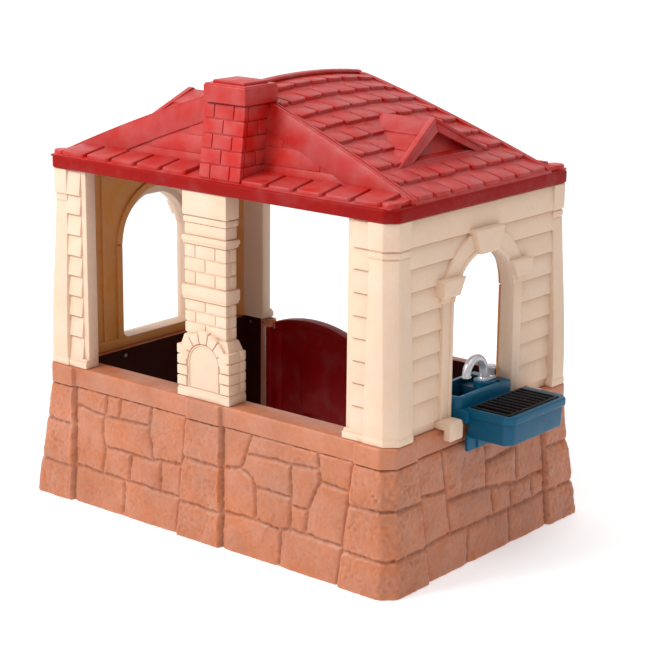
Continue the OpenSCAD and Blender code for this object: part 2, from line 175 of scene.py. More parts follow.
def arc(cx, cz, radius, start, end, steps):
    """Points on a circle from one angle to another, in degrees"""
    angles = [math.radians(start + (end - start) * i / steps) for i in range(steps + 1)]
    return [(cx + radius * math.cos(a), cz + radius * math.sin(a)) for a in angles]


def arch_ring(bm, centre, radii, faces, angles, steps, edge=0.002):
    """Part of a flat ring that stands in the Y-Z plane, between two X faces"""
    loops = []
    for i in range(steps + 1):
        a = math.radians(angles[0] + (angles[1] - angles[0]) * i / steps)
        inner, outer = [(centre[0] + r * math.cos(a), centre[1] + r * math.sin(a)) for r in radii]
        loops.append([(faces[0], *inner), (faces[1], *inner), (faces[1], *outer), (faces[0], *outer)])
    add_solid(bm, loops, edge)


def tube(bm, path, radii, sides=28):
    """A round tube along a path in space, with a radius at each point"""
    loops = []
    points = [Vector(p) for p in path]
    across = Vector((1, 0, 0))
    for i, point in enumerate(points):
        along = (points[min(i + 1, len(points) - 1)] - points[max(i - 1, 0)]).normalized()
        first = (across - along * across.dot(along)).normalized()
        second = along.cross(first)
        turn = [2 * math.pi * k / sides for k in range(sides)]
        loops.append([point + (first * math.cos(t) + second * math.sin(t)) * radii[i] for t in turn])
    add_solid(bm, loops, 0)


def lathe(bm, centre, profile, sides=32):
    """A turned shape about a vertical line, from (radius, height) pairs"""
    tube(bm, [(centre[0], centre[1], z) for r, z in profile], [r for r, z in profile], sides)


def as_object(name, bm):
    """A scene object made from bm, which is freed"""
    mesh = bpy.data.meshes.new(name)
    bm.to_mesh(mesh)
    bm.free()
    made = bpy.data.objects.new(name, mesh)
    bpy.context.scene.collection.objects.link(made)
    return made


def carve(bm, *tools):
    """The solid bm with the tool solids cut out of it"""
    target = as_object("target", bm)
    cutters = [as_object("cutter", tool) for tool in tools]
    for cutter in cutters:
        change = target.modifiers.new("cut", "BOOLEAN")
        change.operation = "DIFFERENCE"
        change.solver = "EXACT"
        change.object = cutter
    graph = bpy.context.evaluated_depsgraph_get()
    mesh = bpy.data.meshes.new_from_object(target.evaluated_get(graph))
    result = bmesh.new()
    result.from_mesh(mesh)
    for used in [target, *cutters]:
        bpy.data.objects.remove(used)
    bpy.data.meshes.remove(mesh)
    return result


def piece(name, bm, materials, nodes, body="root", smooth=38):
    """Turns bm into a piece that rides on a body and stands for CAD nodes"""
    made = as_object(name, bm)
    mesh = made.data
    mesh.transform(Matrix.Translation((MID_X, 0, 0)))
    for material in materials:
        mesh.materials.append(material)
    mesh.polygons.foreach_set("use_smooth", [True] * len(mesh.polygons))
    mesh.set_sharp_from_angle(angle=math.radians(smooth))
    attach(made, body)
    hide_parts(*nodes)
    return made


# ---- materials ----

def plastic(name, colour, rough=0.42, mottle=0.05, grain=0.25, groove=0.35, edge=0.12, metallic=0.0,
            grain_size=520, specular=0.5):
    """Moulded plastic: clouded colour, fine grain, a painted highlight on sharp edges and painted shade in
    grooves
    """
    material = bpy.data.materials.new(name)
    material.use_nodes = True
    tree = material.node_tree
    tree.nodes.clear()
    new = tree.nodes.new
    link = tree.links.new
    out = new("ShaderNodeOutputMaterial")
    shader = new("ShaderNodeBsdfPrincipled")
    place = new("ShaderNodeTexCoord")
    geometry = new("ShaderNodeNewGeometry")
    link(shader.outputs["BSDF"], out.inputs["Surface"])
    shader.inputs["Metallic"].default_value = metallic
    shader.inputs["Specular IOR Level"].default_value = specular

    def noise(scale, detail):
        node = new("ShaderNodeTexNoise")
        node.inputs["Scale"].default_value = scale
        node.inputs["Detail"].default_value = detail
        link(place.outputs["Object"], node.inputs["Vector"])
        return node.outputs["Fac"]

    def spread(value, low, high, to_low, to_high):
        node = new("ShaderNodeMapRange")
        for key, number in zip(("From Min", "From Max", "To Min", "To Max"), (low, high, to_low, to_high)):
            node.inputs[key].default_value = number
        link(value, node.inputs["Value"])
        return node.outputs["Result"]

    def math_node(kind, first, second):
        node = new("ShaderNodeMath")
        node.operation = kind
        link(first, node.inputs[0])
        link(second, node.inputs[1])
        return node.outputs[0]

    cloud = spread(noise(7, 3), 0.3, 0.7, 1 - mottle, 1 + mottle)
    fleck = spread(noise(90, 4), 0.3, 0.7, 1 - mottle * 0.6, 1 + mottle * 0.6)
    # Painted shade in grooves and a painted highlight on sharp edges, read from the mesh's pointiness;
    # groove and edge set their strength
    groove_shade = spread(geometry.outputs["Pointiness"], 0.42, 0.495, 1 - groove, 1)
    edge_highlight = spread(geometry.outputs["Pointiness"], 0.505, 0.60, 1, 1 + edge)
    level = math_node("MULTIPLY", math_node("MULTIPLY", cloud, fleck),
                      math_node("MULTIPLY", groove_shade, edge_highlight))
    tint = new("ShaderNodeHueSaturation")
    tint.inputs["Color"].default_value = (*colour, 1)
    link(level, tint.inputs["Value"])
    link(spread(noise(16, 2), 0.3, 0.7, 1.06, 0.94), tint.inputs["Saturation"])
    link(tint.outputs["Color"], shader.inputs["Base Color"])
    link(spread(noise(35, 5), 0.3, 0.7, rough - 0.06, rough + 0.08), shader.inputs["Roughness"])
    bump = new("ShaderNodeBump")
    bump.inputs["Strength"].default_value = grain
    bump.inputs["Distance"].default_value = 0.0006
    height = math_node("ADD", noise(grain_size, 3), spread(noise(110, 3), 0, 1, 0, 1.6))
    link(height, bump.inputs["Height"])
    link(bump.outputs["Normal"], shader.inputs["Normal"])
    return material


def linear(red, green, blue):
    """A display colour from 0 to 255 as scene light"""
    return tuple((c / 255) ** 2.2 for c in (red, green, blue))


stone = plastic("stone plastic", linear(178, 110, 78), rough=0.42, mottle=0.11, grain=0.6, groove=0.55,
                edge=0.35, grain_size=430, specular=0.5)
# Painted shade: the same stone plastic, darker for the faces inside the base
stone_painted_shade = plastic("stone plastic inside", linear(52, 18, 6), rough=0.7, mottle=0.08, grain=0.4,
                     specular=0.12)
cream = plastic("cream plastic", linear(220, 190, 165), rough=0.5, mottle=0.03, grain=0.3, groove=0.42,
                edge=0.05, specular=0.35)
# Painted shade: the cream plastic darker and more orange for the faces inside the room
cream_painted_shade = plastic("cream plastic inside", linear(212, 148, 84), rough=0.6, mottle=0.04, grain=0.3,
                       groove=0.3, edge=0.05, specular=0.25)
roof_red = plastic("roof plastic", linear(163, 43, 39), rough=0.40, mottle=0.06, grain=0.35, groove=0.5,
                   edge=0.35, specular=0.42)
fascia_red = plastic("fascia plastic", linear(136, 16, 10), rough=0.5, mottle=0.05, grain=0.3, groove=0.4,
                     edge=0.2, specular=0.12)
teal = plastic("teal plastic", linear(0, 80, 108), rough=0.36, mottle=0.05, grain=0.25, groove=0.5,
               edge=0.3, specular=0.25)
grate_black = plastic("grate plastic", linear(18, 18, 21), rough=0.5, mottle=0.1, grain=0.4, edge=0.5,
                      specular=0.25)
silver = plastic("silver plastic", linear(214, 214, 218), rough=0.30, mottle=0.03, grain=0.02,
                 groove=0.6, metallic=0.45)
door_red = plastic("door plastic", linear(122, 3, 5), rough=0.4, mottle=0.06, grain=0.3, groove=0.5,
                   edge=0.35, specular=0.16)
steel = plastic("screw steel", linear(176, 178, 182), rough=0.3, mottle=0.06, grain=0.2, metallic=0.95)


# ---- stone base ----

def value_noise(points, size, seed):
    """Smooth noise from -1 to 1 with lumps of about the given size"""
    cell = points / size + seed * 7.31
    base = np.floor(cell).astype(np.int64)
    part = cell - base
    part = part * part * (3 - 2 * part)
    total = np.zeros(points.shape[:-1])
    for corner in range(8):
        step = np.array([corner & 1, corner >> 1 & 1, corner >> 2 & 1])
        key = (base + step) * np.array([73856093, 19349663, 83492791])
        mixed = (key[..., 0] ^ key[..., 1] ^ key[..., 2] ^ (seed * 2654435)) & 0xFFFFFFFF
        mixed = ((mixed ^ (mixed >> 13)) * 1274126177) & 0xFFFFFFFF
        value = ((mixed ^ (mixed >> 16)) & 0xFFFF) / 32767.5 - 1
        total += value * np.prod(np.where(step, part, 1 - part), axis=-1)
    return total


def ease(value, low, high):
    """0 below low, 1 above high and a smooth rise between"""
    t = np.clip((value - low) / (high - low), 0, 1)
    return t * t * (3 - 2 * t)


def line_distance(u, z, joints):
    """Distance of each point to the nearest of the joints"""
    best = np.full(u.shape, 1.0)
    for joint in joints:
        for (u0, z0), (u1, z1) in zip(joint, joint[1:]):
            a = np.array([u0, z0]) / 100
            d = np.array([u1, z1]) / 100 - a
            t = np.clip(((u - a[0]) * d[0] + (z - a[1]) * d[1]) / (d @ d), 0, 1)
            best = np.minimum(best, np.hypot(u - a[0] - t * d[0], z - a[1] - t * d[1]))
    return best


def stone_relief(kind, u, z, points):
    """How far the surface stands back from the CAD plane, zero or negative"""
    rise = np.clip(z / STONE_TOP, 0, 1)
    wobble = np.stack([value_noise(points, 0.035, 3), value_noise(points, 0.035, 4)])
    wu = u + 0.0028 * wobble[0]
    wz = z + 0.0028 * wobble[1]
    if kind == "long":
        corner = np.abs(u) - (0.480 + 0.020 * rise)
        middle = np.minimum(u + 0.073 - 0.006 * rise, 0.078 - 0.026 * rise - u)
        inside = np.maximum(corner, middle)
        distance = line_distance(wu, wz, LEFT_BAY + RIGHT_BAY)
    elif kind == "end":
        inside = np.abs(u) - (0.276 + 0.011 * rise)
        distance = line_distance(wu, wz, END_BAY)
    else:
        inside = np.full(u.shape, 0.1)
        distance = np.full(u.shape, 1.0)
    post = ease(inside, -0.003, 0.003)
    post_joint = np.minimum(np.abs(wz - 0.214), np.abs(wz - 0.094))
    distance = np.where(post > 0.5, post_joint, np.minimum(distance, np.abs(inside + 0.006)))
    distance = np.minimum(distance, np.abs(z - 0.3205) + 0.0022)
    below = 1 - ease(z, 0.319, 0.3235)
    groove = (1 - ease(distance, 0.0008, 0.0085)) * below
    swell = ease(distance, 0.004, 0.030) * 0.0022 * below
    lumps = 0.0013 * value_noise(points, 0.05, 5) + 0.0007 * value_noise(points, 0.02, 6)
    slanted = points @ np.array([[1, 0, 0.7], [0, 1, 0.7], [-0.5, -0.5, 1.0]]) * np.array([1, 1, 0.35])
    facet = 0.0024 * ease(value_noise(slanted, 0.030, 7), -0.12, 0.12)
    facet = facet * ease(value_noise(points, 0.09, 8), -0.2, 0.4)
    pits = 0.0020 * value_noise(points, 0.0105, 9) * (0.28 + 0.72 * post)
    hammered = 0.0009 * value_noise(points, 0.0068, 12)
    chips = 0.0016 * value_noise(points, 0.012, 10) * (1 - ease(distance, 0.006, 0.018))
    rough = (lumps + pits + chips + hammered - facet) * below
    level = -0.0040 - BAY_DEPTH * (1 - post) - JOINT_DEPTH * groove + swell + rough
    return np.minimum(level + 0.0025 * (1 - below) * post, -0.0004)


def base_corners(half, cut, part):
    """Plan corners of one base piece anticlockwise, from one seam to another"""
    hx, hy = half
    return {
        "right": [(SEAM, -hy), (hx - cut[0], -hy), (hx, -hy + cut[1]), (hx, hy - cut[1]),
                  (hx - cut[0], hy), (SEAM, hy)],
        "left": [(DOOR_LEFT, hy), (-hx + cut[0], hy), (-hx, hy - cut[1]), (-hx, -hy + cut[1]),
                 (-hx + cut[0], -hy), (-SEAM, -hy)],
        "front": [(-SEAM, -hy), (SEAM, -hy)],
        "back": [(SEAM, hy), (DOOR_RIGHT, hy)],
    }[part]


def soften(points):
    """Rounds the corners of a path of columns and keeps its two ends"""
    weights = np.array([1, 2, 3, 4, 3, 2, 1]) / 16
    padded = np.concatenate([2 * points[0] - points[3:0:-1], points, 2 * points[-1] - points[-2:-5:-1]])
    return np.stack([np.convolve(padded[:, k], weights, "valid") for k in (0, 1)], axis=1)


def base_section():
    """Rows up the outer face as (height, inset), rounded at the floor and at the rim"""
    rows = [(0.0, 0.0035), (0.0012, 0.0012), (0.004, 0.0)]
    steps = int((STONE_TOP - 0.004) / GRID)
    rows += [(0.004 + (STONE_TOP - 0.004) * i / steps, 0.0) for i in range(1, steps + 1)]
    rows += [(STONE_TOP + d, 0.0) for d in (0.002, 0.005, 0.015, 0.025, 0.035)]
    radius = 0.008
    for i in range(6):
        a = math.radians(90 * i / 5)
        rows.append((RIM - radius + radius * math.sin(a), radius * (1 - math.cos(a))))
    return np.array(rows)


def base_piece(name, part, kinds, nodes):
    """One moulded base piece: a closed section swept along its stretch of the plan"""
    low = base_corners(FLOOR_HALF, FLOOR_CUT, part)
    high = base_corners(BAND_HALF, BAND_CUT, part)
    floor_points, band_points, names = [], [], []
    for i in range(len(low) - 1):
        a, b = np.array(low[i]), np.array(low[i + 1])
        c, d = np.array(high[i]), np.array(high[i + 1])
        count = max(int(np.linalg.norm(b - a) / GRID), 2)
        for k in range(count + (i == len(low) - 2)):
            floor_points.append(a + (b - a) * k / count)
            band_points.append(c + (d - c) * k / count)
            names.append(kinds[i])
    floor_points = soften(np.array(floor_points))
    band_points = soften(np.array(band_points))
    along = np.gradient((floor_points + band_points) / 2, axis=0)
    along /= np.linalg.norm(along, axis=1)[:, None]
    normal = np.stack([along[:, 1], -along[:, 0]], axis=1)
    normal[[0, -1]] = np.round(normal[[0, -1]])
    rows = base_section()
    z = np.broadcast_to(rows[:, 0], (len(names), len(rows)))
    lean = np.clip(z / STONE_TOP, 0, 1)[..., None]
    plan = floor_points[:, None] * (1 - lean) + band_points[:, None] * lean
    points = np.concatenate([plan, z[..., None]], axis=2)
    level = np.zeros(z.shape)
    for kind in set(names):
        chosen = np.array([n == kind for n in names])
        axis, sign = {"front": (0, 1), "back": (0, -1), "right": (1, 1), "left": (1, -1),
                      "corner": (0, 1)}[kind]
        group = {"front": "long", "back": "long", "right": "end", "left": "end"}.get(kind, "corner")
        level[chosen] = stone_relief(group, sign * plan[chosen][..., axis], z[chosen], points[chosen])
    for end in ([0] if part == "left" else []) + ([-1] if part == "back" else []):
        gap = np.abs(band_points[:, 0] - band_points[end, 0])[:, None]
        near = (gap < 0.008) & (band_points[:, 1] > 0)[:, None]
        level -= np.where(near, 0.008 - np.sqrt(np.clip(0.008 ** 2 - (0.008 - gap) ** 2, 0, None)), 0)
    shift = normal[:, None] * (level - rows[:, 1])[..., None]
    outer = np.concatenate([plan + shift, z[..., None]], axis=2)
    inner_plan = np.stack([np.clip(band_points[:, 0], -ROOM_X, ROOM_X),
                           np.clip(band_points[:, 1], ROOM_FRONT, ROOM_BACK)], axis=1)
    outward = band_points - inner_plan
    outward /= np.linalg.norm(outward, axis=1)[:, None]

    def inner_row(inset, height):
        place = inner_plan + outward * inset
        return np.concatenate([place, np.full((len(place), 1), height)], axis=1)[:, None]

    middle = (outer[:, -1:] + inner_row(0.005, RIM)) / 2
    inside = [inner_row(0.005, RIM), inner_row(0.0015, RIM - 0.0015), inner_row(0, RIM - 0.005)]
    inside += [inner_row(0, height) for height in (0.31, 0.24, 0.17, 0.10, 0.04, 0.0)]
    section = np.concatenate([outer, middle, *inside], axis=1)
    columns, count = section.shape[:2]
    index = np.arange(columns * count).reshape(columns, count)
    following = np.roll(index, -1, axis=1)
    quads = np.stack([index[:-1], index[1:], following[1:], following[:-1]], axis=-1).reshape(-1, 4)
    faces = quads.tolist() + [index[0][::-1].tolist(), index[-1].tolist()]
    mesh = bpy.data.meshes.new("base")
    mesh.from_pydata(section.reshape(-1, 3).tolist(), [], faces)
    bm = bmesh.new()
    bm.from_mesh(mesh)
    bpy.data.meshes.remove(mesh)
    bmesh.ops.remove_doubles(bm, verts=bm.verts, dist=2e-5)
    bmesh.ops.recalc_face_normals(bm, faces=bm.faces)
    if part == "back":
        block(bm, (DOOR_LEFT, ROOM_BACK, 0), (DOOR_RIGHT, 0.4425, 0.022), 0.004)
    # Upright faces inside the room take the painted shade copy of the stone
    for face in bm.faces:
        centre = face.calc_center_median()
        shaded_inside = abs(centre.x) < ROOM_X + 0.001 and ROOM_FRONT - 0.001 < centre.y < ROOM_BACK + 0.001
        face.material_index = int(shaded_inside and abs(face.normal.z) < 0.5)
    return piece(name, bm, [stone, stone_painted_shade], nodes, smooth=60)


base_piece("base_left_end", "left", ["back", "corner", "left", "corner", "front"], ["lower_left_end"])
base_piece("base_right_end", "right", ["front", "corner", "right", "corner", "back"], ["lower_right_end"])
base_piece("base_front", "front", ["front"], ["lower_front_panel"])
base_piece("base_back", "back", ["back"], ["lower_back_panel"])


# ---- cream end walls ----

# Heights of the laps between siding boards
BOARDS = (0.464, 0.522, 0.579, 0.636, 0.692, 0.750, 0.808, 0.861)


def window_outline(sill, spread):
    """Outline of the window hole, wider all round by spread"""
    half = 0.134 + spread
    shoulder = SPRING_Z + 0.005
    arch = arc(WINDOW_Y, SPRING_Z, 0.132 + spread, 3, 177, 48)
    outline = [(WINDOW_Y + half, shoulder), *arch, (WINDOW_Y - half, shoulder)]
    if sill <= RIM:
        return outline + [(WINDOW_Y - half, sill), (WINDOW_Y + half, sill)]
    foot = 0.030
    outline += arc(WINDOW_Y - half + foot, sill + foot, foot, 180, 270, 6)
    outline += arc(WINDOW_Y + half - foot, sill + foot, foot, 270, 360, 6)
    return outline


def window_tool(side, sill):
    """A cutter for the window hole of one end wall, which widens towards the inside"""
    tool = bmesh.new()
    face, splay = 0.600, 0.42
    outlines = [(x, window_outline(sill, max(splay * (face - x), 0))) for x in (0.50, face, 0.66)]
    add_solid(tool, [[(side * x, y, z) for y, z in outline] for x, outline in outlines], 0)
    return tool


def wall_plan(side, hx, hy, cut):
    """Plan of an end wall with its two returns, with the outer corners cut off"""
    back, tip, inner = 0.345, 0.455, 0.544
    return [(side * x, y) for x, y in [
        (tip, -hy), (hx - cut, -hy), (hx, -hy + cut), (hx, hy - cut), (hx - cut, hy), (tip, hy),
        (tip, back), (inner, back), (inner, -back), (tip, -back)]]


def post_loop(side, end, face_x, face_y, z, grow=0.0):
    """Plan of a corner post at one height"""
    cut = 0.030
    inner_x = 0.523 - grow
    inner_y = 0.314 - grow
    return [(side * x, end * y, z) for x, y in [
        (inner_x, face_y), (face_x - cut, face_y), (face_x, face_y - cut), (face_x, inner_y),
        (0.556, inner_y), (inner_x, 0.356)]]


def corner_post(bm, side, end):
    """A post that flares towards its foot, with grooves and a square head"""
    def part(stations, edge):
        add_solid(bm, [post_loop(side, end, *station) for station in stations], edge)

    levels = [(RIM + 0.020, 0.0), (0.46, 0.02), (0.54, 0.16), (0.64, 0.42), (0.74, 0.74), (0.838, 1.0)]
    part([(0.6125 - 0.018 * t, 0.3995 - 0.0115 * t, z) for z, t in levels], 0.003)
    part([(0.5955, 0.389, z, 0.001) for z in (0.8415, 0.8565)], 0.002)
    part([(0.5925, 0.386, z) for z in (0.830, 0.868)], 0.001)
    part([(0.5975, 0.3915, z, 0.002) for z in (0.8605, WALL_TOP)], 0.0035)
    part([(0.6138, 0.4000, z, 0.003) for z in (RIM, RIM + 0.019)], 0.003)
    part([(0.6128, 0.3998, RIM + 0.016, 0.0015), (0.6110, 0.3970, RIM + 0.027)], 0.002)


def board_end(low):
    """Where a siding board stops beside the window or under its arch"""
    if low > 0.85:
        return 0.0
    if low > 0.80:
        return 0.070
    if low > 0.74:
        return 0.133
    return 0.150


def siding(bm, side):
    """Lapped boards on the outer face of an end wall and on its two returns"""
    reach = 0.317
    lines = (RIM + 0.024, *BOARDS, WALL_TOP)
    for low, high in zip(lines, lines[1:]):
        stop = board_end(low)
        section = [(0.584, low), (0.5962, low), (0.5898, high - 0.0024), (0.584, high - 0.0024)]
        spans = [(-reach, reach)] if stop == 0 else [(-reach, WINDOW_Y - stop), (WINDOW_Y + stop, reach)]
        for y0, y1 in spans:
            prism_y(bm, [(side * x, z) for x, z in section], y0, y1, 0.0014)
        for end in (-1, 1):
            slab = [(0.378, low), (0.3908, low), (0.3838, high - 0.0030), (0.378, high - 0.0030)]
            prism_x(bm, [(end * y, z) for y, z in slab], side * 0.472, side * 0.527, 0.0022)


def window_trim(bm, side, sill):
    """Strips, arch, springing blocks and keystone outside, and a plain frame inside"""
    wall, face = side * 0.560, side * 0.601
    bead_faces = side * 0.580, side * 0.604
    frame_faces = side * 0.538, side * 0.555

    def shape(end, points, x0, x1, edge, segments=2):
        prism_x(bm, [(WINDOW_Y + end * y, z) for y, z in points], x0, x1, edge, segments)

    for end in (-1, 1):
        strip = [(0.1332, sill), (0.175, sill), (0.175, 0.722), (0.1332, 0.700)]
        shape(end, strip, wall, face, 0.003)
        bead = [(0.1323, sill + 0.001), (0.146, sill + 0.001), (0.144, 0.715), (0.1323, 0.698)]
        shape(end, bead, *bead_faces, 0.0025)
        springer = [(0.1268, 0.717), (0.195, 0.717), (0.197, 0.762), (0.102, 0.762), (0.1155, 0.741)]
        shape(end, springer, side * 0.575, side * 0.619, 0.0045, 3)
        inner = [(0.1565, sill + 0.002), (0.178, sill + 0.002), (0.178, 0.681), (0.1565, 0.681)]
        shape(end, inner, *frame_faces, 0.002)
    centre = WINDOW_Y, SPRING_Z
    arch_ring(bm, centre, (0.1313, 0.186), (side * 0.5607, side * 0.6017), (7, 173), 48, 0.003)
    arch_ring(bm, centre, (0.1306, 0.142), (side * 0.580, side * 0.6047), (8, 172), 48, 0.0025)
    arch_ring(bm, centre, (0.1547, 0.176), frame_faces, (2, 178), 44)
    key = [(-0.042, 0.804), (0.042, 0.804), (0.064, 0.868), (-0.064, 0.868)]
    shape(1, key, side * 0.562, side * 0.619, 0.0055, 3)


def inner_panels(bm, side):
    """Shallow upright ribs on the inner face of an end wall"""
    near, far = sorted((side * 0.540, side * 0.550))
    for y in (-0.30, -0.235, 0.220, 0.285):
        block(bm, (near, y - 0.006, RIM + 0.03), (far, y + 0.006, WALL_TOP - 0.03), 0.002)
    near, far = sorted((side * 0.541, side * 0.550))
    for z in (RIM + 0.02, WALL_TOP - 0.035):
        for low, high in ((-0.340, WINDOW_Y - 0.165), (WINDOW_Y + 0.165, 0.340)):
            block(bm, (near, low, z), (far, high, z + 0.012), 0.002)


def end_wall(name, side, sill, nodes):
    """One cream end wall with its posts, boards, window trim and, on the grill end, its feet"""
    walls = bmesh.new()
    prism_z(walls, wall_plan(side, 0.588, 0.382, 0.030), RIM, WALL_TOP, 0.003)
    bm = carve(walls, window_tool(side, sill))
    for end in (-1, 1):
        for shy, z0, z1 in ((0.0, RIM, RIM + 0.0185), (0.0045, RIM + 0.016, RIM + 0.0255)):
            hx, hy, cut, start = 0.6085 - shy, 0.3965 - shy, 0.031, 0.4535 + shy * 0.3
            plan = [(start, hy), (hx - cut, hy), (hx, hy - cut), (hx, 0.3125), (0.560, 0.3125),
                    (0.560, 0.350), (start, 0.350)]
            prism_z(bm, [(side * x, end * y) for x, y in plan], z0, z1, 0.003)
    for end in (-1, 1):
        corner_post(bm, side, end)
    siding(bm, side)
    window_trim(bm, side, max(sill, RIM + 0.002) if side > 0 else sill - 0.002)
    inner_panels(bm, side)
    if side < 0:
        ledge = [(WINDOW_Y - 0.150, sill - 0.014), (WINDOW_Y + 0.150, sill - 0.014),
                 (WINDOW_Y + 0.150, sill - 0.001), (WINDOW_Y - 0.150, sill - 0.001)]
        prism_x(bm, ledge, -0.552, -0.606, 0.003)
    else:
        for low, high in ((-0.192, -0.136), (0.178, 0.226)):
            block(bm, (0.582, low, RIM - 0.0005), (0.6385, high, RIM + 0.0237), 0.007, 3)
            block(bm, (0.6146, low + 0.0004, RIM - 0.0260), (0.6397, high - 0.0004, RIM + 0.016), 0.006, 3)
    # Faces inside the room take the painted shade copy of the cream
    for face in bm.faces:
        centre = face.calc_center_median()
        inside = abs(centre.x) < 0.5555 and abs(centre.y) < 0.3452 and centre.z > RIM + 0.001
        face.material_index = int(inside)
    return piece(name, bm, [cream, cream_painted_shade], nodes)


end_wall("end_wall_left", -1, 0.4045, ["upper_left_end"])
end_wall("end_wall_right", 1, RIM - 0.01, ["upper_right_end"])


# ---- fireplace column ----

def brick_rows(bm, z0, z1, rows, half, front, depth, first=0):
    """Courses of bricks round a column's front and sides, two and three in turn"""
    gap = 0.0016
    proud = 0.0032
    bite = 0.012
    pitch = (z1 - z0) / rows
    for row in range(rows):
        low = z0 + row * pitch + gap
        high = z0 + (row + 1) * pitch - gap
        y = front((low + high) / 2)
        cuts = [-half, -half / 2, half / 2, half] if (row + first) % 2 else [-half, 0, half]
        for a, b in zip(cuts, cuts[1:]):
            left = a - (proud if a == -half else -gap)
            right = b + (proud if b == half else -gap)
            add_solid(bm, [[(left, front(z) - proud, z), (right, front(z) - proud, z),
                            (right, y + bite, z), (left, y + bite, z)] for z in (low, high)], 0.0022)
        for side in (-1, 1):
            edges = [y + bite, y + depth]
            if (row + first) % 2 == 0:
                edges.insert(1, y + depth * 0.5)
            near, far = sorted((side * (half - 0.01), side * (half + proud)))
            for a, b in zip(edges, edges[1:]):
                block(bm, (near, a + gap, low), (far, b - gap, high), 0.0022)


def fireplace():
    """The column between base and roof: quoins, arch and panel below, brick courses above"""
    bm = bmesh.new()
    front, back, half = -0.389, -0.327, 0.089
    stack, stack_front = 0.0695, -0.3805
    plinth, plinth_front = 0.0925, -0.396

    def layer(half_width, y0, y1, z0, z1, edge=0.003):
        block(bm, (-half_width, y0, z0), (half_width, y1, z1), edge)

    # Hearth block, its sloping shoulders, the stack above and the plinth below
    layer(half, front, back, RIM, 0.510)
    shoulders = ((half, front, back, 0.506), (0.076, -0.384, -0.338, 0.545))
    add_solid(bm, [[(-x, y0, z), (x, y0, z), (x, y1, z), (-x, y1, z)] for x, y0, y1, z in shoulders], 0.003)
    layer(stack, stack_front, -0.340, 0.54, WALL_TOP, 0.002)
    layer(plinth, plinth_front, back, RIM, RIM + 0.0215)
    layer(0.0905, -0.3935, back, RIM + 0.019, RIM + 0.0265, 0.002)
    # Two bands round the stack, and its head
    for z0, z1 in ((0.6415, 0.6795), (0.7895, 0.8115)):
        layer(0.079, -0.390, -0.334, z0 + 0.007, z1)
        layer(0.0765, -0.3875, -0.337, z0, z0 + 0.010)
    layer(0.075, -0.386, -0.336, 0.845, 0.862)
    layer(0.077, -0.388, -0.336, 0.864, WALL_TOP, 0.0035)
    # Quoins beside the arch, larger and smaller in turn
    foot = RIM + 0.028
    height = 0.0285
    for row in range(4):
        low = foot + row * height
        width = 0.036 if row % 2 else 0.033
        for side in (-1, 1):
            a, b = sorted((side * (plinth - width), side * plinth))
            block(bm, (a, plinth_front, low + 0.001), (b, -0.350, low + height - 0.0015), 0.003)
            a, b = sorted((side * 0.070, side * 0.0918))
            block(bm, (a, -0.348, low + 0.001), (b, back, low + height - 0.0015), 0.003)
    # Voussoirs round the arch and the raised panel in it
    centre = 0.473
    for i in range(7):
        start = 4 + i * 172 / 7
        end = start + 172 / 7
        inner = arc(0, centre, 0.056, start + 1.2, end - 1.2, 4)
        outer = arc(0, centre, 0.090 if i == 3 else 0.086, start + 1.0, end - 1.0, 4)
        prism_y(bm, inner + outer[::-1], -0.3955, -0.372, 0.0026)
    panel = [(0.050, foot), *arc(0, centre, 0.050, 0, 180, 28), (-0.050, foot)]
    prism_y(bm, panel, -0.3915, -0.380, 0.0025)
    wide, narrow = 0.0535, 0.0495
    rim = [(wide, foot), *arc(0, centre, wide, 0, 180, 28), (-wide, foot), (-narrow, foot),
           *arc(0, centre, narrow, 180, 0, 28), (narrow, foot)]
    prism_y(bm, rim, -0.3935, -0.382, 0.001)
    for z0, z1, first in ((0.549, 0.6405, 0), (0.6805, 0.7885, 1)):
        brick_rows(bm, z0, z1, 3, stack, lambda z: stack_front, 0.040, first=first)
    layer(0.0725, -0.3837, -0.340, 0.8125, 0.8440)
    bmesh.ops.translate(bm, vec=(FIRE_X, 0, 0), verts=bm.verts)
    return piece("fireplace", bm, [cream], ["fireplace_column"])


fireplace()


# ---- roof ----

def slope_z(x, drop=0.0, y=None):
    """Height of the roof surface, which is rounded at the ridge and swells up between the gables"""
    swell = 0.0
    if y is not None:
        swell = 0.0155 * max(1 - ((y + 0.02) / 0.242) ** 2, 0) * max(1 - abs(x) / EAVE, 0)
    return RIDGE - PITCH * math.hypot(x, RIDGE_ROUND) - BULGE * x * x + swell - drop


def gable_y(end, z, inset=0.0):
    """Place of the leaning gable face at a height; end is -1 in front and 1 behind"""
    lean = 0.1845 if end < 0 else 0.356
    return end * (GABLE_FOOT - lean * (z - FASCIA_TOP) - inset)


